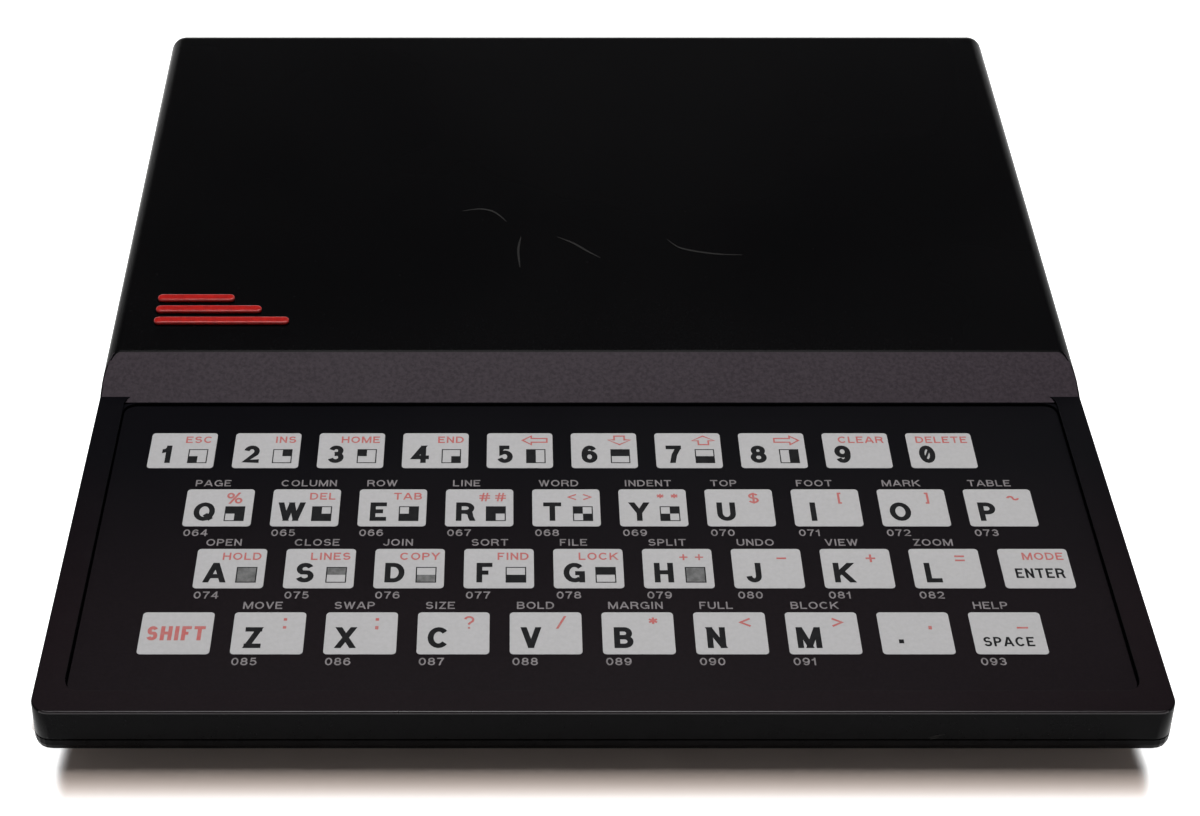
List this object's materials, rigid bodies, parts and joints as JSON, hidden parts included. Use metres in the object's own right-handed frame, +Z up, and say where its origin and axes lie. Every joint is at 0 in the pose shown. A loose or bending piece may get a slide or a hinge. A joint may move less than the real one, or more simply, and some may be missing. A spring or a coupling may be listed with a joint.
{
  "type": "vintage home computer",
  "caption": "Wedge-shaped home computer: moulded two-part case with a sloped deck, a flat printed touch keyboard, a rear edge-connector slot and side sockets round one circuit board.",
  "frame": {"origin": "on the table, under the middle of the case's outline", "axes": "+Z up, +Y from the keyboard's front edge towards the rear edge-connector slot, +X to the user's right"},
  "size_m": [0.167, 0.175, 0.0396],
  "materials": {
    "case_plastic": "satin black moulded plastic",
    "overlay_print": "printed polyester sheet, near black with light grey keys",
    "polyester": "clear-grey polyester film with printed tracks",
    "board_laminate": "green solder mask on glass-epoxy laminate",
    "chip_plastic": "black epoxy",
    "socket_plastic": "dark grey moulding",
    "connector_plastic": "natural nylon",
    "tinplate": "bright tinplate",
    "aluminium": "plain rolled sheet",
    "screw_steel": "zinc-plated steel",
    "foot_rubber": "black rubber",
    "capacitor_sleeve": "blue heat-shrunk sleeve",
    "resonator_ceramic": "orange dipped ceramic"
  },
  "bodies": {
    "root": {"top_case": "case_plastic", "bottom_case": "case_plastic", "foot_front_left": "foot_rubber", "foot_front_right": "foot_rubber", "foot_rear_left": "foot_rubber", "foot_rear_right": "foot_rubber", "case_screw_front_left": "screw_steel", "case_screw_front_right": "screw_steel", "case_screw_rear_left": "screw_steel", "case_screw_rear_right": "screw_steel", "case_screw_middle": "screw_steel", "keyboard_overlay": "overlay_print", "contact_sheet_upper": "polyester", "contact_spacer": "polyester", "contact_sheet_lower": "polyester", "tail_connector_upper": "connector_plastic", "tail_connector_lower": "connector_plastic", "circuit_board": "board_laminate", "logic_chip": "chip_plastic", "logic_chip_socket": "socket_plastic", "processor_chip": "chip_plastic", "rom_chip": "chip_plastic", "rom_chip_socket": "socket_plastic", "ram_chip_1": "chip_plastic", "ram_chip_2": "chip_plastic", "ceramic_resonator": "resonator_ceramic", "video_transistor_1": "chip_plastic", "video_transistor_2": "chip_plastic", "smoothing_capacitor": "capacitor_sleeve", "small_capacitor": "capacitor_sleeve", "voltage_regulator": "chip_plastic", "regulator_screw": "screw_steel", "regulator_nut": "screw_steel", "heatsink": "aluminium", "modulator_can": "tinplate", "modulator_lid": "tinplate", "aerial_socket_shell": "tinplate", "aerial_socket_insulator": "connector_plastic", "power_jack": "chip_plastic", "microphone_jack": "chip_plastic", "earphone_jack": "chip_plastic", "board_screw_1": "screw_steel", "board_screw_2": "screw_steel"}
  },
  "joints": []
}
